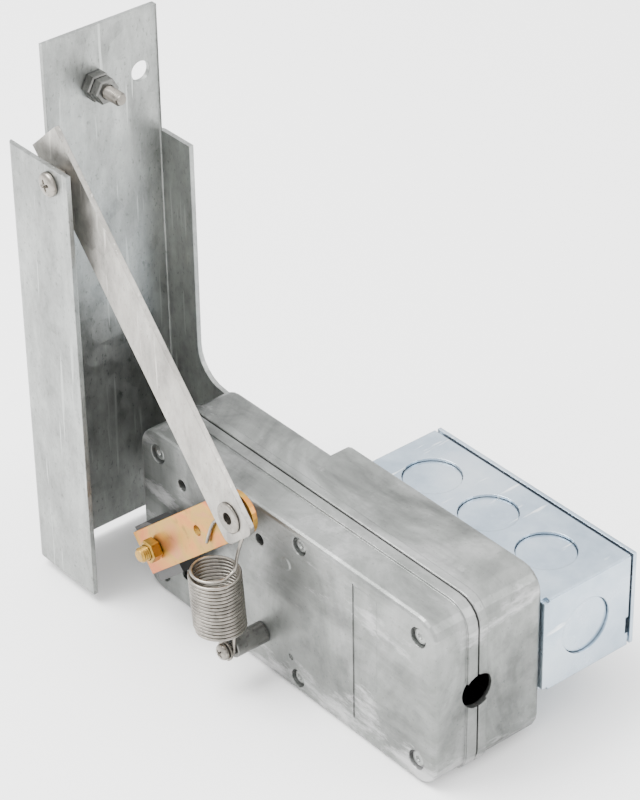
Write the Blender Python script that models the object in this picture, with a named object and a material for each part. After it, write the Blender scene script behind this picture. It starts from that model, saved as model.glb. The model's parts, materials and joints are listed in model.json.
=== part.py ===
"""Limit switch with a spring-returned channel arm, as an assembly of separate pieces.

Lengths below are in millimetres in the switch's own layout: X along the housing,
Y from the front face to the back, Z up.  place() moves them to the part frame.
"""
import math

import bmesh
import bpy
from mathutils import Vector

for old in list(bpy.data.objects):
    bpy.data.objects.remove(old)

MM = 0.001
SHIFT = (-61.75, -33.1, 0.8)

# housing
LENGTH = 160.9
HEIGHT = 70.2
CORNER_R = 9.0
WALL = 2.8
SEAM_FRONT = 18.6
SEAM_BACK = 19.3
RIM = 0.8
SHALLOW_BACK = 39.4
STEP_X = 60.8
DEEP_BACK = 48.27
# output shaft and arm
SHAFT_X = 27.0
SHAFT_Z = 36.0
SHAFT_R = 4.0
STUD_R = 2.9
TIP_X = 75.5
TIP_Z = 77.5
CRANK_HALF = 8.3
LINK_HALF = 9.5
SCREW_X = -10.6
SCREW_Z = 173.5
# channel bracket
SHEET = 1.9
WEB_X = -33.7
FRONT_Y = -24.15
BACK_Y = 42.3
# junction box
BOX_X0 = 60.3
BOX_X1 = 162.0
BOX_Y0 = 48.57
BOX_Y1 = 89.3
BOX_Z0 = 18.7
BOX_Z1 = 57.6
BOX_T = 1.6
KNOCKOUT_R = 11.1
# spring and its post
POST_X = 68.6
POST_Z = 15.0
POST_R = 4.1
WIRE_R = 0.6
COIL_R = 9.05
COIL_PITCH = 1.4
COIL_TURNS = 16.9

COLOURS = {
    "casting": ((0.62, 0.63, 0.63), 0.8, 0.45),
    "zinc": ((0.66, 0.68, 0.68), 0.9, 0.35),
    "box_zinc": ((0.70, 0.75, 0.80), 0.9, 0.25),
    "chromate": ((0.80, 0.50, 0.16), 0.7, 0.35),
    "brass": ((0.72, 0.52, 0.18), 0.9, 0.3),
    "steel": ((0.50, 0.49, 0.46), 0.9, 0.35),
    "dark_steel": ((0.20, 0.21, 0.20), 0.8, 0.45),
    "black": ((0.02, 0.02, 0.02), 0.0, 0.5),
    "bronze": ((0.45, 0.30, 0.16), 0.8, 0.45),
    "phenolic": ((0.10, 0.06, 0.04), 0.0, 0.5),
    "nylon": ((0.85, 0.83, 0.76), 0.0, 0.5),
    "cork": ((0.16, 0.14, 0.12), 0.0, 0.8),
    "green": ((0.08, 0.35, 0.14), 0.6, 0.4),
}


def place(p):
    return Vector(((p[0] + SHIFT[0]) * MM, (p[1] + SHIFT[1]) * MM, (p[2] + SHIFT[2]) * MM))


def paint(obj, finish):
    colour, metal, rough = COLOURS[finish]
    mat = bpy.data.materials.new(obj.name + "_" + finish)
    mat.use_nodes = True
    shader = mat.node_tree.nodes["Principled BSDF"]
    shader.inputs["Base Color"].default_value = (*colour, 1.0)
    shader.inputs["Metallic"].default_value = metal
    shader.inputs["Roughness"].default_value = rough
    obj.data.materials.append(mat)


def make(name, rings, finish=None, origin=None, smooth=False):
    """One closed body skinned over rings of points, with both ends capped."""
    bm = bmesh.new()
    base = place(origin) if origin else Vector((0, 0, 0))
    rows = [[bm.verts.new(place(p) - base) for p in ring] for ring in rings]
    n = len(rows[0])
    for a, b in zip(rows, rows[1:]):
        for i in range(n):
            bm.faces.new((a[i], a[(i + 1) % n], b[(i + 1) % n], b[i]))
    bm.faces.new(list(reversed(rows[0])))
    bm.faces.new(rows[-1])
    bmesh.ops.recalc_face_normals(bm, faces=bm.faces)
    mesh = bpy.data.meshes.new(name)
    bm.to_mesh(mesh)
    bm.free()
    obj = bpy.data.objects.new(name, mesh)
    bpy.context.scene.collection.objects.link(obj)
    obj.location = base
    if smooth:
        for poly in mesh.polygons:
            poly.use_smooth = True
    if finish:
        paint(obj, finish)
    else:
        obj.hide_render = True
        obj.display_type = "WIRE"
    return obj


def axis_point(axis, along, u, v):
    """A point at a distance along the axis, with u and v in the other two axes in X, Y, Z order."""
    if axis == "x":
        return (along, u, v)
    if axis == "y":
        return (u, along, v)
    return (u, v, along)


def turned(name, axis, centre, profile, finish=None, sides=24, origin=None, phase=0.0):
    """A solid turned about the axis from (along, radius) pairs."""
    rings = []
    for along, radius in profile:
        ring = []
        for k in range(sides):
            a = 2 * math.pi * (k + phase) / sides
            u = centre[0] + radius * math.cos(a)
            v = centre[1] + radius * math.sin(a)
            ring.append(axis_point(axis, along, u, v))
        rings.append(ring)
    return make(name, rings, finish, origin)


def prism(name, axis, outline, low, high, finish=None, origin=None):
    """An outline of (u, v) pairs carried from low to high along the axis."""
    rings = [[axis_point(axis, w, u, v) for u, v in outline] for w in (low, high)]
    return make(name, rings, finish, origin)


def block(name, low, high, finish=None):
    outline = [(low[0], low[1]), (high[0], low[1]), (high[0], high[1]), (low[0], high[1])]
    return prism(name, "z", outline, low[2], high[2], finish)


def combine(obj, tool, operation="DIFFERENCE"):
    mod = obj.modifiers.new(tool.name, "BOOLEAN")
    mod.operation = operation
    mod.solver = "EXACT"
    mod.object = tool
    return obj


def rounded(x0, x1, z0, z1, r, steps=5, left_r=None):
    """A rectangle with round corners; its two left corners can have a radius of their own."""
    pts = []
    q = r if left_r is None else left_r
    corners = ((x1 - r, z0 + r, -90, r), (x1 - r, z1 - r, 0, r),
               (x0 + q, z1 - q, 90, q), (x0 + q, z0 + q, 180, q))
    for cx, cz, start, radius in corners:
        for k in range(steps + 1):
            a = math.radians(start + 90 * k / steps)
            pts.append((cx + radius * math.cos(a), cz + radius * math.sin(a)))
    return pts


def shell_rings(x0, x1, z0, z1, r, levels, left_r=None):
    """Rounded rectangles in XZ, one for each (y, inset)."""
    rings = []
    for y, inset in levels:
        ring = rounded(x0 + inset, x1 - inset, z0 + inset, z1 - inset, max(r - inset, 0.6), 5, left_r)
        rings.append([(u, y, v) for u, v in ring])
    return rings


def bar_outline(start, end, half, before, round_end=True, after=0.0):
    """Outline of a flat bar in XZ, square at its start and round or chamfered past its end."""
    d = Vector((end[0] - start[0], end[1] - start[1])).normalized()
    n = Vector((-d.y, d.x))
    s = Vector(start) - d * before
    e = Vector(end)
    pts = [s - n * half, s + n * half]
    if round_end:
        for k in range(13):
            a = math.pi / 2 - math.pi * k / 12
            pts.append(e + d * (half * math.cos(a)) + n * (half * math.sin(a)))
    else:
        r = 3.5
        for sign in (1, -1):
            centre = e + d * (after - r) + n * (sign * (half - r))
            for k in range(5):
                a = math.radians(90 - 22.5 * k) if sign > 0 else math.radians(-22.5 * k)
                pts.append(centre + d * (r * math.cos(a)) + n * (r * math.sin(a)))
    return [(p.x, p.y) for p in pts]


# ---------------------------------------------------------------- housing
SCREWS = ((10.5, 61.6, 3.9), (152.2, 61.7, 3.9), (151.5, 8.6, 3.9),
          (10.5, 8.6, 3.9), (90.4, 64.6, 3.6), (88.2, 5.6, 3.6))

front = make("front_cover", shell_rings(0, LENGTH, 0, HEIGHT, CORNER_R, (
    (0.0, 1.5), (0.45, 0.45), (1.5, 0.0), (14.1, 0.0), (14.2, -RIM), (SEAM_FRONT - 0.3, -RIM),
    (SEAM_FRONT, -RIM + 0.3))), "casting")
combine(front, make("cut_front_cavity", shell_rings(0, LENGTH, 0, HEIGHT, CORNER_R, (
    (3.0, WALL), (SEAM_FRONT + 1, WALL)))))
rear = make("rear_casting", shell_rings(0, LENGTH, 0, HEIGHT, CORNER_R, (
    (SEAM_BACK, -RIM + 0.3), (SEAM_BACK + 0.3, -RIM), (22.9, -RIM), (23.0, 0.0), (37.9, 0.0),
    (38.95, 0.45), (SHALLOW_BACK, 1.5))), "casting")
deep = make("add_deep_part", shell_rings(STEP_X, LENGTH - 0.02, 0.02, HEIGHT - 0.02, 8.9, (
    (30.0, 0.6), (31.0, 0.0), (DEEP_BACK - 1.5, 0.0), (DEEP_BACK - 0.45, 0.45), (DEEP_BACK, 1.5)), 1.2))
combine(rear, deep, "UNION")
combine(rear, make("cut_rear_cavity", shell_rings(0, LENGTH, 0, HEIGHT, CORNER_R, (
    (SEAM_BACK - 1, WALL), (36.4, WALL)))))
combine(rear, make("cut_deep_cavity", shell_rings(STEP_X, LENGTH, 0, HEIGHT, CORNER_R, (
    (34.0, WALL + 0.3), (45.3, WALL + 0.3)))))
for i, (sx, sz, sr) in enumerate(SCREWS, 1):
    combine(front, turned("add_front_boss_%d" % i, "y", (sx, sz), ((2.0, 4.8), (SEAM_FRONT - 0.2, 4.4)),
                          sides=16), "UNION")
    back = 38.0 if sx < STEP_X else 46.5
    combine(rear, turned("add_rear_boss_%d" % i, "y", (sx, sz), ((SEAM_BACK + 0.2, 4.4), (back, 4.8)),
                         sides=16), "UNION")
for i, (sx, sz, sr) in enumerate(SCREWS, 1):
    combine(front, turned("cut_front_screw_%d" % i, "y", (sx, sz), (
        (-1.0, sr), (2.2, sr), (2.21, 2.3), (SEAM_FRONT + 1, 2.3)), sides=16))
    combine(rear, turned("cut_rear_screw_%d" % i, "y", (sx, sz), (
        (SEAM_BACK - 1, 2.2), (31.0, 2.2)), sides=16))
    turned("cover_screw_%d" % i, "y", (sx, sz), (
        (1.5, 0.9), (0.85, 1.2), (0.8, 1.7), (1.05, sr - 1.1), (1.9, sr - 1.0), (1.91, 1.9),
        (29.5, 1.9), (30.0, 1.4)),
        "zinc", 16)
for i, (hx, hz) in enumerate(((68.4, 55.6), (24.2, 55.0), (24.1, 15.1)), 1):
    combine(front, turned("cut_face_hole_%d" % i, "y", (hx, hz), ((-1, 2.35), (5, 2.35)), sides=16))
combine(front, turned("cut_front_shaft", "y", (SHAFT_X, SHAFT_Z), ((-1, 6.3), (5, 6.3))))
combine(rear, turned("cut_rear_shaft", "y", (SHAFT_X, SHAFT_Z), ((35, 6.3), (41, 6.3))))
combine(front, turned("cut_post_socket", "y", (POST_X, POST_Z), ((-1, 2.2), (5, 2.2)), sides=16))
combine(front, turned("add_face_boss", "y", (83.0, 53.2), ((-0.4, 2.2), (0.0, 2.6), (1.0, 2.6)),
                      sides=16), "UNION")
combine(front, turned("cut_face_dimple", "y", (84.5, 13.0), ((-1, 1.4), (0.8, 1.2)), sides=12))
combine(front, block("cut_panel", (119.0, -1, 6.7), (131.0, 0.25, 64.5)))
combine(front, block("cut_panel_line", (118.4, -1, 6.7), (119.0, 0.7, 65.0)))
gasket = make("gasket", shell_rings(0, LENGTH, 0, HEIGHT, CORNER_R, ((18.8, 0.2), (19.1, 0.2))), "cork")
combine(gasket, make("cut_gasket", shell_rings(0, LENGTH, 0, HEIGHT, CORNER_R, ((18, 1.9), (20, 1.9)))))
end_hole = turned("cut_end_hole", "x", (18.9, 35.0), ((LENGTH - 6, 6.75), (LENGTH + 3, 6.75)))
end_relief = turned("cut_end_relief", "x", (18.9, 35.0), ((LENGTH - 6, 8.6), (LENGTH - 1.4, 8.6)))
for obj in (front, rear, gasket):
    combine(obj, end_hole)
    combine(obj, end_relief)

# ---------------------------------------------------------------- bushes, shaft, cams
ring_bore = ((-3, SHAFT_R + 0.08), (45, SHAFT_R + 0.08))
front_bush = turned("front_bush", "y", (SHAFT_X, SHAFT_Z), (
    (-1.5, 8.0), (-0.3, 8.0), (-0.29, 6.0), (6.5, 6.0)), "bronze", 32)
rear_bush = turned("rear_bush", "y", (SHAFT_X, SHAFT_Z), (
    (32.5, 8.0), (36.1, 8.0), (36.11, 6.0), (39.2, 6.0)), "bronze", 32)
bore = turned("cut_bush_bore", "y", (SHAFT_X, SHAFT_Z), ring_bore, sides=32)
combine(front_bush, bore)
combine(rear_bush, bore)
SHAFT = (SHAFT_X, 0.0, SHAFT_Z)
turned("shaft", "y", (SHAFT_X, SHAFT_Z), (
    (-22.6, 2.3), (-22.0, STUD_R), (-12.1, STUD_R), (-12.09, SHAFT_R), (40.1, SHAFT_R),
    (40.11, STUD_R), (47.2, STUD_R), (47.8, 2.3)), "brass", 32, SHAFT)


def cam_outline():
    pts = []
    for k in range(60):
        a = -180 + 6 * k
        if -30 <= a <= 24:
            r = 11.0 - 0.06 * a
        elif -60 <= a < -30:
            r = 9.56 + (12.8 - 9.56) * (a + 60) / 30
        else:
            r = 9.56
        a = math.radians(a)
        pts.append((SHAFT_X + r * math.cos(a), SHAFT_Z + r * math.sin(a)))
    return pts


cam_bore = turned("cut_cam_bore", "y", (SHAFT_X, SHAFT_Z), ((-3, SHAFT_R + 0.3), (45, SHAFT_R + 0.3)))
for i, y in enumerate((11.5, 25.5), 1):
    combine(prism("cam_%d" % i, "y", cam_outline(), y - 1.8, y + 1.8, "nylon", SHAFT), cam_bore)

# ---------------------------------------------------------------- switches, levers, plungers
for i, y in enumerate((11.5, 25.5), 1):
    body = block("snap_switch_%d" % i, (44.0, y - 5.1, 22.0), (59.9, y + 5.1, 49.8), "phenolic")
    combine(body, turned("cut_plunger_%d" % i, "x", (y, 30.0), ((40, 1.5), (48.5, 1.5)), sides=16))
    combine(body, block("cut_roller_relief_%d" % i, (43.0, y - 2.1, 33.0), (44.8, y + 2.1, 39.4)))
    turned("plunger_%d" % i, "x", (y, 30.0), ((42.55, 0.8), (42.75, 1.2), (47.0, 1.2)),
           "nylon", 16, (42.55, y, 30.0))
    lever = prism("lever_%d" % i, "y", ((42.9, 23.5), (42.2, 23.5), (39.9, 37.4),
                                        (41.2, 37.4)), y - 2.7, y + 2.7, "zinc", (43.1, y, 25.0))
    lever = combine(lever, block("cut_lever_slot_%d" % i, (36, y - 1.8, 33.0), (43.2, y + 1.8, 39)))
    lever = combine(lever, turned("add_lever_pin_%d" % i, "y", (40.65, 36.0), (
        (y - 2.5, 0.55), (y + 2.5, 0.55)), sides=12), "UNION")
    roller = turned("roller_%d" % i, "y", (40.65, 36.0), ((y - 1.5, 2.4), (y + 1.5, 2.4)), "nylon", 24,
                    (40.65, y, 36.0))
    combine(roller, turned("cut_roller_%d" % i, "y", (40.65, 36.0), ((y - 3, 0.8), (y + 3, 0.8)), sides=12))
plate = prism("switch_bracket", "z", ((60.3, 3.3), (74.0, 3.3), (74.0, 4.6), (61.6, 4.6),
                                      (61.6, 33.0), (60.3, 33.0)), 20.0, 50.0, "zinc")
combine(plate, turned("cut_bracket_hole", "x", (18.5, 44.0), ((58, 2.0), (63, 2.0)), sides=16))
terminal = block("terminal_block", (84.0, 29.0, 24.0), (114.0, 40.5, 50.0), "black")
for i in range(3):
    tz = 29.5 + 7.5 * i
    combine(terminal, block("cut_terminal_%d" % (i + 1), (83, 28, tz - 2.9), (115, 32.5, tz + 2.9)))
    combine(terminal, turned("cut_terminal_hole_%d" % (i + 1), "y", (99.0, tz), ((30, 1.6), (38, 1.6)),
                             sides=12))
    turned("terminal_screw_%d" % (i + 1), "y", (99.0, tz), (
        (30.6, 2.3), (32.2, 2.5), (32.21, 1.3), (37.0, 1.3)), "brass", 16)

# ---------------------------------------------------------------- junction box
box = block("junction_box_body", (BOX_X0, BOX_Y0, BOX_Z0), (BOX_X1, BOX_Y1, BOX_Z1), "box_zinc")
combine(box, block("cut_box_inside", (BOX_X0 + BOX_T, BOX_Y0 + BOX_T, BOX_Z0 + BOX_T),
                   (BOX_X1 - BOX_T, BOX_Y1 + 5, BOX_Z1 - BOX_T)))
for i in range(3):
    kx = 81.35 + 29.67 * i
    combine(box, turned("cut_knockout_%d" % (i + 1), "z", (kx, 69.3), ((50, KNOCKOUT_R), (60, KNOCKOUT_R)),
                        sides=28))
    turned("knockout_%d" % (i + 1), "z", (kx, 69.3), (
        (BOX_Z1 - BOX_T - 1.0, KNOCKOUT_R - 0.3), (BOX_Z1 - 1.1, KNOCKOUT_R - 0.3)), "box_zinc", 28)
combine(box, turned("cut_knockout_4", "x", (68.6, 37.8), ((155, KNOCKOUT_R), (165, KNOCKOUT_R)), sides=28))
turned("knockout_4", "x", (68.6, 37.8), (
    (BOX_X1 - BOX_T - 1.0, KNOCKOUT_R - 0.3), (BOX_X1 - 1.1, KNOCKOUT_R - 0.3)), "box_zinc", 28)
lid = block("junction_box_cover", (BOX_X0, BOX_Y1 + 1.3, BOX_Z0), (BOX_X1, BOX_Y1 + 2.8, BOX_Z1), "box_zinc")
for i, rz in enumerate((BOX_Z0, BOX_Z1), 1):
    combine(box, block("cut_corner_relief_%d" % i, (BOX_X1 - 2.2, BOX_Y0 - 1, rz - 1.1),
                       (BOX_X1 + 1, BOX_Y0 + 2.4, rz + 1.1)))
combine(box, block("cut_fold_line", (BOX_X1 - 0.45, BOX_Y0 - 1, BOX_Z1 - 0.45),
                   (BOX_X1 + 1, BOX_Y1 + 1, BOX_Z1 + 1)))
combine(box, block("cut_pry_slot", (BOX_X1 - 3, BOX_Y1 - 1.2, 24.0), (BOX_X1 + 1, BOX_Y1 + 1, 31.0)))
nipple = turned("conduit_nipple", "y", (125.0, 38.0), (
    (41.3, 11.5), (44.9, 11.5), (44.91, 8.4), (57.0, 8.4)), "zinc", 24)
combine(nipple, turned("cut_nipple_bore", "y", (125.0, 38.0), ((40, 6.4), (60, 6.4)), sides=24))
nipple_hole = turned("cut_nipple_hole", "y", (125.0, 38.0), ((44, 8.8), (52, 8.8)), sides=24)
combine(box, nipple_hole)
combine(rear, nipple_hole)
locknut = turned("locknut", "y", (125.0, 38.0), ((50.5, 13.0), (53.5, 13.0)), "zinc", 8)
combine(locknut, turned("cut_locknut", "y", (125.0, 38.0), ((49, 8.7), (55, 8.7)), sides=24))
for i, lx in enumerate((72.0, 150.3), 1):
    ear = block("add_box_ear_%d" % i, (lx - 4, 80.0, BOX_Z0 + 0.8), (lx + 4, 89.9, BOX_Z0 + 9.0))
    combine(box, ear, "UNION")
    hole = turned("cut_cover_screw_%d" % i, "y", (lx, BOX_Z0 + 5.2), ((82, 2.1), (95, 2.1)), sides=16)
    combine(box, hole)
    combine(lid, hole)
    turned("box_cover_screw_%d" % i, "y", (lx, BOX_Z0 + 5.2), (
        (83.5, 1.4), (84.0, 1.8), (92.49, 1.8), (92.5, 3.6), (93.8, 3.4), (94.4, 2.2)), "zinc", 16)
combine(box, turned("cut_ground_hole", "y", (76.0, 38.0), ((47, 2.1), (52, 2.1)), sides=16))
turned("ground_screw", "y", (76.0, 38.0), (
    (48.6, 1.4), (48.8, 1.8), (50.44, 1.8), (50.45, 4.2), (52.0, 4.0), (52.6, 2.4)), "green", 16)

# ---------------------------------------------------------------- channel bracket
out = WEB_X - SHEET
r_out = 2.6
r_in = 0.7
profile = [(-0.8, FRONT_Y + SHEET), (-0.8, FRONT_Y)]
for k in range(5):
    a = math.radians(-90 - 22.5 * k)
    profile.append((out + r_out + r_out * math.cos(a), FRONT_Y + r_out + r_out * math.sin(a)))
for k in range(5):
    a = math.radians(180 - 22.5 * k)
    profile.append((out + r_out + r_out * math.cos(a), BACK_Y - r_out + r_out * math.sin(a)))
profile += [(41.0, BACK_Y), (41.0, BACK_Y - SHEET)]
for k in range(5):
    a = math.radians(90 + 22.5 * k)
    profile.append((WEB_X + r_in + r_in * math.cos(a), BACK_Y - SHEET - r_in + r_in * math.sin(a)))
for k in range(5):
    a = math.radians(180 + 22.5 * k)
    profile.append((WEB_X + r_in + r_in * math.cos(a), FRONT_Y + SHEET + r_in + r_in * math.sin(a)))
channel = prism("channel_bracket", "z", profile, 3.5, 211.9, "zinc", SHAFT)
combine(channel, block("cut_above_front_flange", (-40, -30, 179.9), (5, -8.0, 220)))
combine(channel, block("cut_web_shoulder", (-40, FRONT_Y + SHEET, 161.0), (-20, -8.0, 200)))
combine(channel, block("cut_above_back_flange", (-33.0, 38.0, 161.6), (50, 45.0, 220)))
combine(channel, block("cut_neck_corner", (-40, 40.6, 161.6), (-20, 45.0, 220)))
foot = [(-17.0, 230.0), (-17.0, 78.0)]
for k in range(7):
    a = math.radians(180 + 15 * k)
    foot.append((-3.2 + 13.8 * math.cos(a), 78.0 + 13.7 * math.sin(a)))
foot.append((4.0, 63.5))
for k in range(11):
    a = math.radians(75 - 16.5 * k)
    foot.append((SHAFT_X + 13.9 * math.cos(a), SHAFT_Z + 13.9 * math.sin(a)))
foot += [(8.0, 3.0), (8.0, -5.0), (70.0, -5.0), (70.0, 230.0)]
combine(channel, prism("cut_foot_shape", "y", foot, 38.0, 45.0))
combine(channel, turned("cut_foot_hole", "y", (SHAFT_X, SHAFT_Z), ((38, 3.2), (45, 3.2))))
combine(channel, turned("cut_flange_hole", "y", (SCREW_X, SCREW_Z), ((-26, 2.3), (-21, 2.3)), sides=16))
combine(channel, turned("cut_striker_hole", "x", (12.7, 189.8), ((-40, 2.9), (-30, 2.9)), sides=16))
combine(channel, turned("cut_plate_hole", "x", (32.9, 187.8), ((-40, 3.95), (-30, 3.95))))

# ---------------------------------------------------------------- crank, hub, link and their hardware
CRANK_BACK = -12.4
CRANK_FRONT = -14.4
crank = prism("crank_arm", "y", bar_outline((SHAFT_X, SHAFT_Z), (TIP_X, TIP_Z), CRANK_HALF, 11.7),
              CRANK_FRONT, CRANK_BACK, "chromate", SHAFT)
combine(crank, turned("cut_crank_shaft", "y", (SHAFT_X, SHAFT_Z), ((-20, 3.2), (-10, 3.2))))
combine(crank, turned("cut_crank_tip", "y", (TIP_X, TIP_Z), ((-20, 3.5), (-10, 3.5))))
along = Vector((TIP_X - SHAFT_X, TIP_Z - SHAFT_Z)).normalized()
across = Vector((-along.y, along.x))
extra = Vector((SHAFT_X, SHAFT_Z)) + along * 32.4
combine(crank, turned("cut_crank_hole", "y", (extra.x, extra.y), ((-20, 2.1), (-10, 2.1)), sides=16))
hub_pts = []
for s, t in ((-13.0, -12.0), (5.8, -12.0), (5.8, 6.0), (-3.5, 9.9), (-13.0, 9.9)):
    p = Vector((SHAFT_X, SHAFT_Z)) + along * s + across * t
    hub_pts.append((p.x, p.y))
hub = prism("hub_block", "y", hub_pts, -12.1, -3.0, "black", SHAFT)
combine(hub, turned("cut_hub_bore", "y", (SHAFT_X, SHAFT_Z), ((-13, SHAFT_R + 0.3), (0, SHAFT_R + 0.3))))
nut = turned("shaft_nut", "y", (SHAFT_X, SHAFT_Z), (
    (-19.2, 3.9), (-18.7, 4.5), (-15.2, 4.5), (-14.7, 3.9)), "brass", 6, SHAFT)
combine(nut, turned("cut_shaft_nut", "y", (SHAFT_X, SHAFT_Z), ((-22, 3.15), (-12, 3.15))))
foot_nut = turned("foot_nut", "y", (SHAFT_X, SHAFT_Z), ((42.6, 5.2), (46.2, 5.2)), "brass", 6, SHAFT)
combine(foot_nut, turned("cut_foot_nut", "y", (SHAFT_X, SHAFT_Z), ((41, 3.15), (48, 3.15))))

link = prism("link_bar", "y", bar_outline((SCREW_X, SCREW_Z), (TIP_X, TIP_Z), LINK_HALF, 16.1, False, 8.6),
             -18.3, -16.3, "zinc", SHAFT)
combine(link, turned("cut_link_low", "y", (TIP_X, TIP_Z), ((-20, 3.5), (-10, 3.5))))
combine(link, turned("cut_link_high", "y", (SCREW_X, SCREW_Z), ((-20, 2.3), (-10, 2.3)), sides=16))
eyelet = turned("pivot_eyelet", "y", (TIP_X, TIP_Z), (
    (-19.2, 5.3), (-18.9, 5.8), (-18.6, 5.8), (-18.59, 3.2), (-12.11, 3.2), (-12.1, 5.4), (-11.4, 5.4)),
    "steel", 28, SHAFT)
combine(eyelet, turned("cut_eyelet", "y", (TIP_X, TIP_Z), ((-21, 2.3), (-10, 2.3))))

turned("flange_screw", "y", (SCREW_X, SCREW_Z), (
    (-26.6, 2.2), (-26.2, 3.7), (-25.4, 4.4), (-24.45, 4.5), (-24.44, 1.95), (-13.2, 1.95), (-12.8, 1.5)),
    "steel", 20, SHAFT)
for i, (y0, y1) in enumerate(((-21.9, -18.7), (-16.0, -13.5)), 1):
    n = turned("flange_nut_%d" % i, "y", (SCREW_X, SCREW_Z), (
        (y0, 3.9), (y0 + 0.4, 4.4), (y1 - 0.4, 4.4), (y1, 3.9)), "steel", 6, SHAFT)
    combine(n, turned("cut_flange_nut_%d" % i, "y", (SCREW_X, SCREW_Z), ((-25, 2.2), (-10, 2.2)), sides=16))
turned("striker_bolt", "x", (12.7, 189.8), (
    (-38.5, 4.4), (-38.1, 4.9), (-35.9, 4.9), (-35.89, 2.5), (-18.1, 2.5), (-17.5, 1.9)), "steel", 18, SHAFT)
for i, (x0, x1, r) in enumerate(((-33.4, -29.6, 5.6), (-29.2, -25.4, 5.0)), 1):
    n = turned("striker_nut_%d" % i, "x", (12.7, 189.8), (
        (x0, r), (x1 - 0.5, r), (x1, r - 0.5)), "dark_steel", 6, SHAFT)
    combine(n, turned("cut_striker_nut_%d" % i, "x", (12.7, 189.8), ((-40, 2.75), (-20, 2.75)), sides=16))

# ---------------------------------------------------------------- post and return spring
post = turned("spring_post", "y", (POST_X, POST_Z), (
    (-14.1, 3.8), (-13.8, POST_R), (-0.3, POST_R), (-0.29, 1.9), (2.8, 1.9)), "dark_steel", 24)
combine(post, turned("cut_post_bore", "y", (POST_X, POST_Z), ((-16, 1.75), (-6, 1.75)), sides=16))
turned("post_screw", "y", (POST_X, POST_Z), (
    (-19.7, 1.8), (-19.2, 2.8), (-17.4, 3.1), (-17.39, 1.5), (-7.4, 1.5), (-7.0, 1.1)), "steel", 16)
washer = turned("post_washer", "y", (POST_X, POST_Z), ((-17.1, 3.9), (-16.4, 3.9)), "steel", 24)
combine(washer, turned("cut_post_washer", "y", (POST_X, POST_Z), ((-18, 1.8), (-15, 1.8)), sides=16))


def spring_path():
    """Centre line of the wire: lower eye, closed coils leaning a little, upper hook with its tail."""
    hook_y = -15.25
    pts = []
    for k in range(8):
        a = math.radians(110 + 250 * k / 7)
        pts.append(Vector((POST_X + 2.6 * math.cos(a), hook_y, POST_Z + 2.6 * math.sin(a))))
    pts.append(Vector((71.7, hook_y, 19.5)))
    pts.append(Vector((71.65, hook_y + 0.25, 24.3)))
    steps = 16
    total = int(COIL_TURNS * steps)
    for k in range(total + 1):
        turn = k / steps
        a = math.radians(50) + 2 * math.pi * turn
        lean = turn / COIL_TURNS
        r = COIL_R
        if turn < 0.6:
            r = 4.9 + (COIL_R - 4.9) * turn / 0.6
        if turn > COIL_TURNS - 0.6:
            r = 6.5 + (COIL_R - 6.5) * (COIL_TURNS - turn) / 0.6
        z = 26.3 + COIL_PITCH * turn
        pts.append(Vector((68.3 - 2.3 * lean + r * math.cos(a), -18.4 + r * math.sin(a), z)))
    return pts, hook_y


def smooth_path(pts, steps):
    fine = []
    for i in range(len(pts) - 1):
        p0 = pts[max(i - 1, 0)]
        p1 = pts[i]
        p2 = pts[i + 1]
        p3 = pts[min(i + 2, len(pts) - 1)]
        for k in range(steps):
            t = k / steps
            fine.append(0.5 * (2 * p1 + (p2 - p0) * t + (2 * p0 - 5 * p1 + 4 * p2 - p3) * t * t
                               + (3 * p1 - p0 - 3 * p2 + p3) * t ** 3))
    fine.append(pts[-1])
    return fine


def tube(name, pts, r, sides, finish, origin=None):
    rings = []
    tangent = (pts[1] - pts[0]).normalized()
    up = Vector((0, 1, 0)) if abs(tangent.y) < 0.9 else Vector((1, 0, 0))
    normal = (up - tangent * up.dot(tangent)).normalized()
    for i, p in enumerate(pts):
        a = pts[max(i - 1, 0)]
        b = pts[min(i + 1, len(pts) - 1)]
        tangent = (b - a).normalized()
        normal = (normal - tangent * normal.dot(tangent)).normalized()
        side = tangent.cross(normal)
        ring = []
        for k in range(sides):
            t = 2 * math.pi * k / sides
            ring.append(p + normal * (r * math.cos(t)) + side * (r * math.sin(t)))
        rings.append(ring)
    return make(name, rings, finish, origin, True)


coil, hook_y = spring_path()
tail = [Vector((72.5, -14.9, 51.2)), Vector((72.9, -14.1, 54.2)), Vector((74.4, -14.6, 58.8)),
        Vector((76.8, hook_y, 64.5)), Vector((79.2, hook_y, 71.0))]
for k in range(9):
    a = math.radians(-10 + 235 * k / 8)
    tail.append(Vector((TIP_X + 4.25 * math.cos(a), hook_y, TIP_Z + 4.25 * math.sin(a))))
tail += [Vector((69.3, hook_y, 71.0)), Vector((65.2, hook_y, 69.4)), Vector((62.3, hook_y, 66.5)),
         Vector((59.8, hook_y, 61.0)), Vector((58.2, hook_y, 56.0))]
lower = smooth_path(coil[:11], 2)
upper = smooth_path(coil[-1:] + tail, 2)
tube("return_spring", lower[:-1] + coil[10:-1] + upper, WIRE_R, 6, "steel")
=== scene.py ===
"""The looks of the limit switch: materials, finer small hardware, the spring, floor, light and camera."""

import json
import math

import bmesh
import bpy
from mathutils import Matrix, Vector

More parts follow.
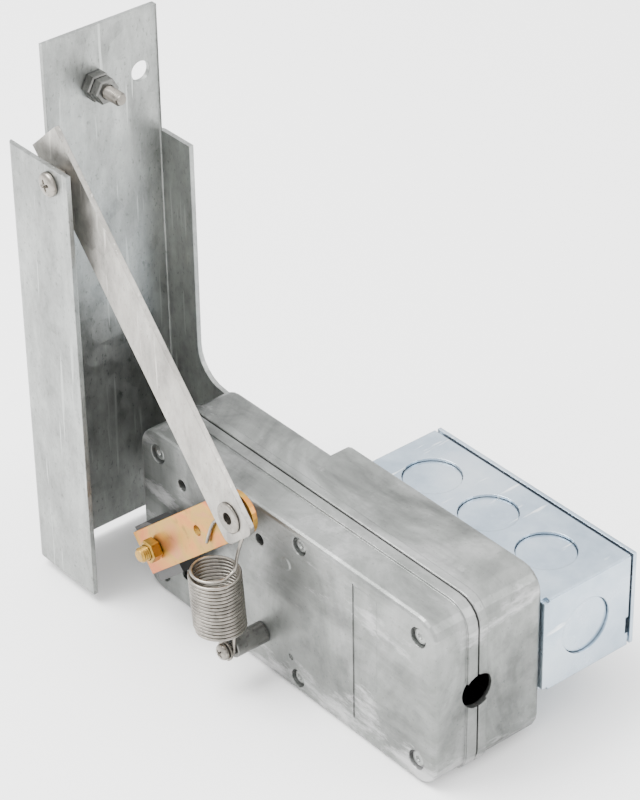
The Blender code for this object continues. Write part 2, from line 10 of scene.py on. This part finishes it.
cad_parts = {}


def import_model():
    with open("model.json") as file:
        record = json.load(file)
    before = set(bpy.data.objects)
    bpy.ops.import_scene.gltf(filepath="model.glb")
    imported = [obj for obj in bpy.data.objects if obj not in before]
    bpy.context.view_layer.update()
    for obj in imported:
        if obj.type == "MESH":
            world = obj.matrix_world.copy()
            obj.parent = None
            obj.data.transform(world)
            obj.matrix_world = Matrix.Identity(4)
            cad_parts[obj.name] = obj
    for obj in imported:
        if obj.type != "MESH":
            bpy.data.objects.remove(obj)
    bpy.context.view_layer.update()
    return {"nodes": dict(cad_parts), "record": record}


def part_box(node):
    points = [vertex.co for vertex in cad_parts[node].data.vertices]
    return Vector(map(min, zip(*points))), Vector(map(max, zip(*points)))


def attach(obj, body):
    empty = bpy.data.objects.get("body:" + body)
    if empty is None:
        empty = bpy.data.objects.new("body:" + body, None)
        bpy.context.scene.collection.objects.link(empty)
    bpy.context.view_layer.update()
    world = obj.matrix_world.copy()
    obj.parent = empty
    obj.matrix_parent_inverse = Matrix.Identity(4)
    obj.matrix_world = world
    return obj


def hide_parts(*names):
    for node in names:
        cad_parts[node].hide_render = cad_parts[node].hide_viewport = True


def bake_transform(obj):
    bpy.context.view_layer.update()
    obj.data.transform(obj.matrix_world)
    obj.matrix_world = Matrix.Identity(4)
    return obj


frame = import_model()
NODES = frame["nodes"]
MM = 0.001


# ---------------------------------------------------------------- node helpers
class Shader:
    """A Principled material with short calls for its procedural nodes."""

    def __init__(self, name, colour, metallic, roughness):
        self.mat = bpy.data.materials.new(name)
        self.mat.use_nodes = True
        self.tree = self.mat.node_tree
        self.out = self.tree.nodes["Principled BSDF"]
        self.out.inputs["Base Color"].default_value = (*colour, 1)
        self.out.inputs["Metallic"].default_value = metallic
        self.out.inputs["Roughness"].default_value = roughness
        self.coords = self.node("ShaderNodeTexCoord").outputs["Object"]
        self.normal = None

    def node(self, kind, **settings):
        made = self.tree.nodes.new(kind)
        for key, value in settings.items():
            setattr(made, key, value)
        return made

    def link(self, a, b):
        self.tree.links.new(a, b)

    def place(self, stretch=(1, 1, 1), turn=(0, 0, 0)):
        made = self.node("ShaderNodeMapping")
        self.link(self.coords, made.inputs["Vector"])
        made.inputs["Scale"].default_value = stretch
        made.inputs["Rotation"].default_value = turn
        return made.outputs["Vector"]

    def noise(self, scale, detail=4, rough=0.55, stretch=(1, 1, 1), turn=(0, 0, 0), distort=0.0):
        made = self.node("ShaderNodeTexNoise")
        self.link(self.place(stretch, turn), made.inputs["Vector"])
        made.inputs["Scale"].default_value = scale
        made.inputs["Detail"].default_value = detail
        made.inputs["Roughness"].default_value = rough
        made.inputs["Distortion"].default_value = distort
        return made.outputs["Fac"]

    def cells(self, scale):
        made = self.node("ShaderNodeTexVoronoi")
        self.link(self.coords, made.inputs["Vector"])
        made.inputs["Scale"].default_value = scale
        grey = self.node("ShaderNodeSeparateColor")
        self.link(made.outputs["Color"], grey.inputs["Color"])
        return grey.outputs["Red"]

    def ramp(self, value, stops):
        made = self.node("ShaderNodeValToRGB")
        bar = made.color_ramp
        while len(bar.elements) < len(stops):
            bar.elements.new(0.5)
        for element, (at, colour) in zip(bar.elements, stops):
            element.position = at
            if isinstance(colour, (int, float)):
                colour = (colour, colour, colour)
            element.color = (*colour, 1)
        self.link(value, made.inputs["Fac"])
        return made.outputs["Color"]

    def mix(self, fac, a, b, kind="MIX"):
        made = self.node("ShaderNodeMix", data_type="RGBA", blend_type=kind)
        for socket, value in ((made.inputs[0], fac), (made.inputs[6], a), (made.inputs[7], b)):
            if isinstance(value, (int, float)):
                socket.default_value = value
            elif isinstance(value, tuple):
                socket.default_value = (*value, 1)
            else:
                self.link(value, socket)
        return made.outputs[2]

    def span(self, value, low, high):
        made = self.node("ShaderNodeMapRange")
        self.link(value, made.inputs["Value"])
        made.inputs["To Min"].default_value = low
        made.inputs["To Max"].default_value = high
        return made.outputs["Result"]

    def edges(self, radius):
        """Broken edges: the normal is rounded over this radius."""
        made = self.node("ShaderNodeBevel", samples=6)
        made.inputs["Radius"].default_value = radius
        self.normal = made.outputs["Normal"]

    def bump(self, height, strength, depth):
        made = self.node("ShaderNodeBump")
        made.inputs["Strength"].default_value = strength
        made.inputs["Distance"].default_value = depth
        self.link(height, made.inputs["Height"])
        if self.normal is not None:
            self.link(self.normal, made.inputs["Normal"])
        self.normal = made.outputs["Normal"]

    def done(self, colour=None, roughness=None):
        if colour is not None:
            self.link(colour, self.out.inputs["Base Color"])
        if roughness is not None:
            self.link(roughness, self.out.inputs["Roughness"])
        if self.normal is not None:
            self.link(self.normal, self.out.inputs["Normal"])
        return self.mat


# ---------------------------------------------------------------- materials
def casting():
    """Die-cast aluminium: grey skin with flow marks, stains, drag lines, pores and rubbed patches."""
    s = Shader("cast_aluminium", (0.36, 0.37, 0.36), 0.86, 0.33)
    s.edges(0.0006)
    flow = s.noise(22, 6, 0.6, (1, 1.6, 0.7), (0.3, 0.2, 0.5), 1.2)
    patch = s.noise(55, 5, 0.65)
    skin = s.ramp(flow, ((0.3, (0.10, 0.105, 0.10)), (0.5, (0.21, 0.22, 0.21)),
                         (0.72, (0.36, 0.365, 0.36))))
    skin = s.mix(s.span(patch, 0.0, 0.30), skin, (0.30, 0.31, 0.30))
    pores = s.ramp(s.noise(900, 3, 0.5), ((0.28, 0.35), (0.36, 1.0)))
    skin = s.mix(0.40, skin, pores, "MULTIPLY")
    stain = s.ramp(s.noise(9, 7, 0.68, (1, 1, 1), (0.4, 0.1, 0.3), 0.7), ((0.34, 0.45), (0.48, 1.0)))
    skin = s.mix(0.85, skin, stain, "MULTIPLY")
    drag = s.ramp(s.noise(95, 5, 0.65, (0.18, 1, 1)), ((0.34, 0.62), (0.50, 1.0)))
    skin = s.mix(0.7, skin, drag, "MULTIPLY")
    rub = s.ramp(s.noise(14, 8, 0.7, (1, 1, 3)), ((0.56, 0.0), (0.64, 1.0)))
    skin = s.mix(rub, skin, (0.44, 0.44, 0.44))
    s.bump(s.noise(900, 3, 0.6), 0.22, 0.0002)
    s.bump(flow, 0.22, 0.0010)
    return s.done(skin, s.span(patch, 0.30, 0.56))


def galvanised(name, grain_turn, tint=(0.27, 0.28, 0.27), scuffs=0.6):
    """Galvanised sheet: faint spangle, rolling grain, dull spots and fine scratches."""
    s = Shader(name, tint, 0.9, 0.36)
    s.edges(0.0004)
    spangle = s.cells(150)
    grain = s.noise(60, 6, 0.6, (1, 1, 14), grain_turn)
    blotch = s.noise(70, 7, 0.72, (1, 1, 0.45))
    dark = tuple(c * 0.5 for c in tint)
    light = tuple(min(c * 1.5, 0.85) for c in tint)
    skin = s.ramp(blotch, ((0.32, dark), (0.52, tint), (0.70, light)))
    skin = s.mix(s.span(spangle, 0.0, 0.28), skin, light)
    specks = s.ramp(s.noise(800, 4, 0.55, (1, 1, 0.6)), ((0.30, 0.45), (0.40, 1.0)))
    skin = s.mix(scuffs, skin, specks, "MULTIPLY")
    lines = s.ramp(s.noise(520, 2, 0.4, (1, 1, 0.05), (0.5, 0.4, 0.2)), ((0.66, 0.0), (0.70, 1.0)))
    skin = s.mix(lines, skin, light)
    s.bump(grain, 0.10, 0.0003)
    s.bump(s.noise(700, 3, 0.6), 0.10, 0.00015)
    return s.done(skin, s.span(s.mix(0.5, spangle, blotch), 0.26, 0.50))


def box_zinc():
    """Bright electroplated zinc: bluish, smooth, with faint drawing lines and handling marks."""
    s = Shader("bright_zinc", (0.56, 0.63, 0.70), 0.92, 0.24)
    s.edges(0.0005)
    cloud = s.noise(26, 5, 0.6)
    skin = s.ramp(cloud, ((0.30, (0.30, 0.38, 0.46)), (0.52, (0.47, 0.55, 0.63)),
                          (0.75, (0.62, 0.68, 0.72))))
    marks = s.ramp(s.noise(240, 3, 0.5, (1, 0.15, 1), (0.1, 0.0, 0.9)), ((0.66, 0.0), (0.72, 1.0)))
    skin = s.mix(marks, skin, (0.82, 0.86, 0.88))
    s.bump(s.noise(300, 4, 0.6, (0.1, 1, 1)), 0.06, 0.0002)
    return s.done(skin, s.span(cloud, 0.18, 0.36))


def chromate():
    """Yellow zinc-chromate: orange and gold bands with pink and green tints."""
    s = Shader("yellow_chromate", (0.80, 0.47, 0.15), 0.8, 0.34)
    s.edges(0.0003)
    band = s.noise(58, 3, 0.5, (1, 1, 1), (0, 0.7, 0), 0.8)
    skin = s.ramp(band, ((0.32, (0.46, 0.13, 0.035)), (0.44, (0.48, 0.20, 0.035)),
                         (0.54, (0.38, 0.23, 0.04)),
                         (0.66, (0.44, 0.17, 0.07)), (0.80, (0.32, 0.26, 0.07))))
    dirt = s.ramp(s.noise(210, 4, 0.6), ((0.32, 0.45), (0.44, 1.0)))
    skin = s.mix(0.5, skin, dirt, "MULTIPLY")
    s.bump(s.noise(650, 3, 0.6), 0.12, 0.0002)
    return s.done(skin, s.span(band, 0.26, 0.44))


def plain_metal(name, colour, roughness, spots=0.4, grain=(1, 1, 1)):
    """Small turned or drawn parts: colour drift, tool lines and dark specks."""
    s = Shader(name, colour, 0.92, roughness)
    s.edges(0.00025)
    drift = s.noise(130, 4, 0.6, grain)
    dark = tuple(c * 0.55 for c in colour)
    light = tuple(min(c * 1.25, 0.92) for c in colour)
    skin = s.ramp(drift, ((0.28, dark), (0.52, colour), (0.74, light)))
    specks = s.ramp(s.noise(600, 3, 0.5), ((0.34, 0.3), (0.42, 1.0)))
    skin = s.mix(spots, skin, specks, "MULTIPLY")
    s.bump(s.noise(900, 2, 0.5, grain), 0.12, 0.0001)
    return s.done(skin, s.span(drift, roughness * 0.75, roughness * 1.35))


def moulded(name, colour, roughness):
    """Moulded plastic, rubber and gasket sheet: fine texture with a slight bloom."""
    s = Shader(name, colour, 0.0, roughness)
    s.edges(0.0003)
    bloom = s.noise(90, 5, 0.6)
    light = tuple(min(c * 1.6 + 0.01, 1.0) for c in colour)
    skin = s.ramp(bloom, ((0.35, colour), (0.75, light)))
    s.bump(s.noise(1100, 3, 0.6), 0.2, 0.0001)
    return s.done(skin, s.span(bloom, roughness * 0.8, roughness * 1.15))


MATERIALS = {
    "casting": casting(),
    "zinc": galvanised("galvanised_sheet", (0, 0, 0)),
    "box_zinc": box_zinc(),
    "chromate": chromate(),
    "brass": plain_metal("brass", (0.36, 0.21, 0.04), 0.28),
    "steel": plain_metal("spring_steel", (0.27, 0.25, 0.22), 0.30),
    "dark_steel": plain_metal("dark_steel", (0.17, 0.17, 0.16), 0.36),
    "black": moulded("black_moulding", (0.012, 0.012, 0.012), 0.42),
    "bronze": plain_metal("sintered_bronze", (0.42, 0.29, 0.15), 0.48),
    "phenolic": moulded("phenolic", (0.07, 0.035, 0.02), 0.4),
    "nylon": moulded("nylon", (0.74, 0.72, 0.64), 0.45),
    "cork": moulded("gasket_sheet", (0.05, 0.045, 0.04), 0.8),
    "green": plain_metal("green_screw", (0.07, 0.32, 0.12), 0.35),
}
LINK_SHEET = galvanised("galvanised_strip", (0, 0.85, 0), (0.33, 0.315, 0.29), 0.5)
SLOT_OF = {sub["node"]: sub["material_slot"] for sub in frame["record"]["subparts"]}
BODY_OF = {n: b for b, names in frame["record"]["behaviour"]["bodies"].items() for n in names}


def finish_of(node):
    return LINK_SHEET if node == "link_bar" else MATERIALS[SLOT_OF[node]]


for node_name, node_object in NODES.items():
    node_object.data.materials.clear()
    node_object.data.materials.append(finish_of(node_name))


# ---------------------------------------------------------------- mesh helpers
def centre(node):
    low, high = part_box(node)
    return (low + high) / 2


def skin_rings(name, rings, smooth=True):
    bm = bmesh.new()
    rows = [[bm.verts.new(p) for p in ring] for ring in rings]
    count = len(rows[0])
    for a, b in zip(rows, rows[1:]):
        for i in range(count):
            bm.faces.new((a[i], a[(i + 1) % count], b[(i + 1) % count], b[i]))
    bm.faces.new(list(reversed(rows[0])))
    bm.faces.new(rows[-1])
    bmesh.ops.recalc_face_normals(bm, faces=bm.faces)
    mesh = bpy.data.meshes.new(name)
    bm.to_mesh(mesh)
    bm.free()
    obj = bpy.data.objects.new(name, mesh)
    bpy.context.scene.collection.objects.link(obj)
    for poly in mesh.polygons:
        poly.use_smooth = smooth
    return obj


def turn(name, axis, at, profile, sides=40):
    """A solid turned about X or Y through a point, from (place along the axis, radius) pairs."""
    rings = []
    for along, radius in profile:
        ring = []
        for k in range(sides):
            a = 2 * math.pi * k / sides
            c, s = radius * math.cos(a), radius * math.sin(a)
            if axis == "x":
                ring.append(Vector((along, at.y + c, at.z + s)))
            else:
                ring.append(Vector((at.x + c, along, at.z + s)))
        rings.append(ring)
    return skin_rings(name, rings)


def subtract(obj, tool):
    mod = obj.modifiers.new("cut", "BOOLEAN")
    mod.solver = "EXACT"
    mod.object = tool
    depsgraph = bpy.context.evaluated_depsgraph_get()
    mesh = bpy.data.meshes.new_from_object(obj.evaluated_get(depsgraph))
    obj.modifiers.clear()
    obj.data = mesh
    bpy.data.objects.remove(tool)
    return obj


def settle(obj, node, sharp=35):
    """Gives a new piece its node's finish and smooth shading with sharp edges, and hides the node's CAD
    part.
    """
    obj.data.materials.clear()
    obj.data.materials.append(finish_of(node))
    for poly in obj.data.polygons:
        poly.use_smooth = True
    obj.data.set_sharp_from_angle(angle=math.radians(sharp))
    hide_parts(node)
    return obj


def carry(obj, node, sharp=35):
    settle(obj, node, sharp)
    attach(obj, BODY_OF[node])
    return obj


def thread(start, end, radius, pitch, depth):
    """Profile of a screw thread's ridges between two places along its axis."""
    count = int(abs(end - start) / pitch)
    step = (end - start) / count
    pairs = []
    for k in range(count):
        pairs.append((start + step * (k + 0.15), radius - depth))
        pairs.append((start + step * (k + 0.5), radius))
        pairs.append((start + step * (k + 0.85), radius - depth))
    return pairs


def cross_tool(name, at, y0, y1, half_long, half_wide, roll):
    """A Phillips recess: a tapering plus sign sunk along Y."""
    rings = []
    for y, scale in ((y0, 1.0), (y1, 0.35)):
        ring = []
        for q in range(4):
            a = roll + q * math.pi / 2
            d = Vector((math.cos(a), 0, math.sin(a)))
            n = Vector((-math.sin(a), 0, math.cos(a)))
            tip = half_wide * 0.8
            for s, t in ((half_wide, -half_wide), (half_long, -tip), (half_long, tip)):
                p = d * (s * scale) + n * (t * scale)
                ring.append(Vector((at.x + p.x, y, at.z + p.z)))
        rings.append(ring)
    return skin_rings(name, rings, False)


def pan_head(front, back, radius):
    """A domed pan head's profile from its crown to its seat."""
    height = back - front
    pairs = [(front, radius * 0.25)]
    for k in range(1, 7):
        a = math.pi / 2 * k / 6
        pairs.append((front + height * 0.62 * (1 - math.cos(a)), radius * (0.25 + 0.75 * math.sin(a))))
    pairs.append((back, radius))
    return pairs


# ---------------------------------------------------------------- finer hardware
def face_screw(node, head_back, head_r, shank_r, roll):
    low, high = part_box(node)
    at = centre(node)
    profile = pan_head(low.y, head_back, head_r) + [(head_back + 0.00001, shank_r)]
    profile += thread(head_back + 0.6 * MM, high.y - 0.4 * MM, shank_r, 0.8 * MM, 0.28 * MM)
    profile.append((high.y, shank_r * 0.6))
    screw = turn(node + "_detail", "y", at, profile)
    tool = cross_tool("tool", at, low.y - 0.3 * MM, low.y + 1.5 * MM, head_r * 0.62, head_r * 0.16, roll)
    return carry(subtract(screw, tool), node)


def striker():
    low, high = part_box("striker_bolt")
    at = centre("striker_bolt")
    head = low.x + 2.6 * MM
    head_r = 4.85 * MM
    shank = 2.5 * MM
    profile = [(low.x, 4.2 * MM), (low.x + 0.4 * MM, head_r), (head, head_r), (head + 0.01 * MM, shank)]
    profile += thread(head + 1.0 * MM, high.x - 0.6 * MM, shank, 0.8 * MM, 0.35 * MM)
    profile.append((high.x, 1.9 * MM))
    carry(turn("striker_bolt_detail", "x", at, profile, 36), "striker_bolt")


def shaft_stud():
    """The shaft with its threaded front and rear ends."""
    low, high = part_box("shaft")
    at = centre("shaft")
    tip = 2.2 * MM
    stud = 2.9 * MM
    body = 4.0 * MM
    step_front = low.y + 10.5 * MM
    step_back = high.y - 7.7 * MM
    profile = [(low.y, tip)] + thread(low.y + 0.4 * MM, step_front - 2 * MM, stud, 0.8 * MM, 0.35 * MM)
    profile += [(step_front - 1 * MM, stud), (step_front, stud), (step_front + 0.01 * MM, body)]
    profile += [(step_back - 0.01 * MM, body), (step_back, stud)]
    profile += thread(step_back + 1 * MM, high.y - 0.4 * MM, stud, 0.8 * MM, 0.35 * MM)
    profile.append((high.y, tip))
    carry(turn("shaft_detail", "y", at, profile, 36), "shaft")


# ---------------------------------------------------------------- return spring
# The wire's radius is in metres. The other sizes here are in millimetres.
WIRE_R = 0.6 * MM
WIRE_SIDES = 12
COIL_R = 9.05
COIL_PITCH = 1.4
COIL_TURNS = 16.9
COIL_START = math.radians(50)
COIL_BASE = 11.3
COIL_X = -0.3
COIL_Y = -3.15
COIL_LEAN = 2.3
TAPER_TURNS = 0.6
LOWER_END_R = 4.9
UPPER_END_R = 6.5
POST_LOOP_R = 2.6
EYE_LOOP_R = 4.25
CAD_STEPS = 16
STEPS = 28


def coil_point(turned):
    """A point of the coil, which leans a little and draws in at both ends."""
    a = COIL_START + 2 * math.pi * turned
    r = COIL_R
    if turned < TAPER_TURNS:
        r = LOWER_END_R + (COIL_R - LOWER_END_R) * turned / TAPER_TURNS
    if turned > COIL_TURNS - TAPER_TURNS:
        r = UPPER_END_R + (COIL_R - UPPER_END_R) * (COIL_TURNS - turned) / TAPER_TURNS
    x = COIL_X - COIL_LEAN * (turned / COIL_TURNS) + r * math.cos(a)
    return Vector((x, COIL_Y + r * math.sin(a), COIL_BASE + COIL_PITCH * turned))


def spring_route():
    """The wire's centre line in millimetres from the post's axis, as the CAD solid has it."""
    pts = []
    for k in range(8):
        a = math.radians(110 + 250 * k / 7)
        pts.append(Vector((POST_LOOP_R * math.cos(a), 0, POST_LOOP_R * math.sin(a))))
    pts.append(Vector((3.1, 0, 4.5)))
    pts.append(Vector((3.05, 0.25, 9.3)))
    head = len(pts)
    total = int(COIL_TURNS * CAD_STEPS) * STEPS // CAD_STEPS
    for k in range(total + 1):
        pts.append(coil_point(k / STEPS))
    tail = ((3.9, 0.35, 36.2), (4.3, 1.15, 39.2), (5.8, 0.65, 43.8), (8.2, 0.0, 49.5), (10.6, 0.0, 56.0))
    eye = Vector((6.9, 0, 62.5))
    end = ((0.7, 0, 56.0), (-3.4, 0, 54.4), (-6.3, 0, 51.5), (-8.8, 0, 46.0), (-10.4, 0, 41.0))
    upper = [Vector(p) for p in tail]
    for k in range(13):
        a = math.radians(-10 + 235 * k / 12)
        upper.append(eye + Vector((EYE_LOOP_R * math.cos(a), 0, EYE_LOOP_R * math.sin(a))))
    upper += [Vector(p) for p in end]
    return smooth(pts[:head + 1], 4)[:-1] + pts[head:-1] + smooth(pts[-1:] + upper, 5)


def smooth(pts, steps):
    fine = []
    last = len(pts) - 1
    for i in range(last):
        p0, p1, p2, p3 = pts[max(i - 1, 0)], pts[i], pts[i + 1], pts[min(i + 2, last)]
        for k in range(steps):
            t = k / steps
            fine.append(0.5 * (2 * p1 + (p2 - p0) * t + (2 * p0 - 5 * p1 + 4 * p2 - p3) * t * t
                               + (3 * p1 - p0 - 3 * p2 + p3) * t ** 3))
    fine.append(pts[-1])
    return fine


def spring():
    post = centre("spring_post")
    start = Vector((post.x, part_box("post_washer")[0].y + 1.85 * MM, post.z))
    pts = [start + p * MM for p in spring_route()]
    rings = []
    tangent = (pts[1] - pts[0]).normalized()
    normal = (Vector((0, 1, 0)) - tangent * tangent.y).normalized()
    for i, p in enumerate(pts):
        tangent = (pts[min(i + 1, len(pts) - 1)] - pts[max(i - 1, 0)]).normalized()
        normal = (normal - tangent * normal.dot(tangent)).normalized()
        side = tangent.cross(normal)
        angles = [2 * math.pi * k / WIRE_SIDES for k in range(WIRE_SIDES)]
        rings.append([p + (normal * math.cos(a) + side * math.sin(a)) * WIRE_R for a in angles])
    wire = skin_rings("return_spring_wire", rings)
    settle(wire, "return_spring", 60)
    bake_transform(wire)


face_screw("flange_screw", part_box("flange_screw")[0].y + 2.15 * MM, 4.5 * MM, 1.95 * MM, 0.35)
face_screw("post_screw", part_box("post_screw")[0].y + 2.3 * MM, 3.1 * MM, 1.5 * MM, 0.9)
striker()
shaft_stud()
spring()


# ---------------------------------------------------------------- floor, light and camera
def floor():
    s = Shader("pale_floor", (0.92, 0.92, 0.915), 0.0, 0.6)
    s.bump(s.noise(60, 3, 0.5), 0.02, 0.0005)
    mesh = bpy.data.meshes.new("floor")
    mesh.from_pydata([(-6, -6, 0), (6, -6, 0), (6, 6, 0), (-6, 6, 0)], [], [(0, 1, 2, 3)])
    mesh.materials.append(s.done())
    obj = bpy.data.objects.new("floor", mesh)
    bpy.context.scene.collection.objects.link(obj)


def lamp(name, at, aim, size, power):
    light = bpy.data.lights.new(name, "AREA")
    light.shape = "RECTANGLE"
    light.size, light.size_y = size
    light.energy = power
    obj = bpy.data.objects.new(name, light)
    obj.location = at
    obj.rotation_euler = (Vector(aim) - Vector(at)).to_track_quat("-Z", "Y").to_euler()
    bpy.context.scene.collection.objects.link(obj)


def world():
    made = bpy.data.worlds.new("studio")
    made.use_nodes = True
    tree = made.node_tree
    coords = tree.nodes.new("ShaderNodeTexCoord")
    split = tree.nodes.new("ShaderNodeSeparateXYZ")
    ramp = tree.nodes.new("ShaderNodeValToRGB")
    tree.links.new(coords.outputs["Generated"], split.inputs[0])
    tree.links.new(split.outputs["Z"], ramp.inputs["Fac"])
    tree.links.new(ramp.outputs["Color"], tree.nodes["Background"].inputs["Color"])
    ramp.color_ramp.elements[0].color = (0.42, 0.42, 0.43, 1)
    ramp.color_ramp.elements[1].position = 0.9
    ramp.color_ramp.elements[1].color = (1.0, 1.0, 1.0, 1)
    tree.nodes["Background"].inputs["Strength"].default_value = 3.0
    bpy.context.scene.world = made


def camera():
    """The photograph's viewpoint: 1.16 m away, 50.6 degrees round and 33.7 degrees up, with a long lens."""
    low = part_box("front_cover")[0]
    eye = Vector((low.x + 0.7585, low.y - 0.5368, low.z + 0.6975))
    right = Vector((0.6414, 0.7671, -0.0138))
    ahead = Vector((-0.6430, 0.5277, -0.5551))
    up = right.cross(ahead)
    data = bpy.data.cameras.new("camera")
    data.sensor_fit = "VERTICAL"
    data.sensor_height = 36.0
    data.lens = 139.4
    data.clip_start = 0.01
    obj = bpy.data.objects.new("camera", data)
    turned = Matrix((right, up, -ahead)).transposed()
    obj.matrix_world = Matrix.Translation(eye) @ turned.to_4x4()
    bpy.context.scene.collection.objects.link(obj)
    bpy.context.scene.camera = obj


floor()
world()
lamp("key", (-0.5, -0.6, 1.5), (0, 0, 0.05), (1.0, 1.0), 62)
lamp("side", (1.4, 0.9, 0.9), (0, 0, 0.08), (0.8, 0.8), 12)
lamp("front", (0.7, -1.5, 0.5), (0, 0, 0.08), (0.6, 0.6), 3)
camera()
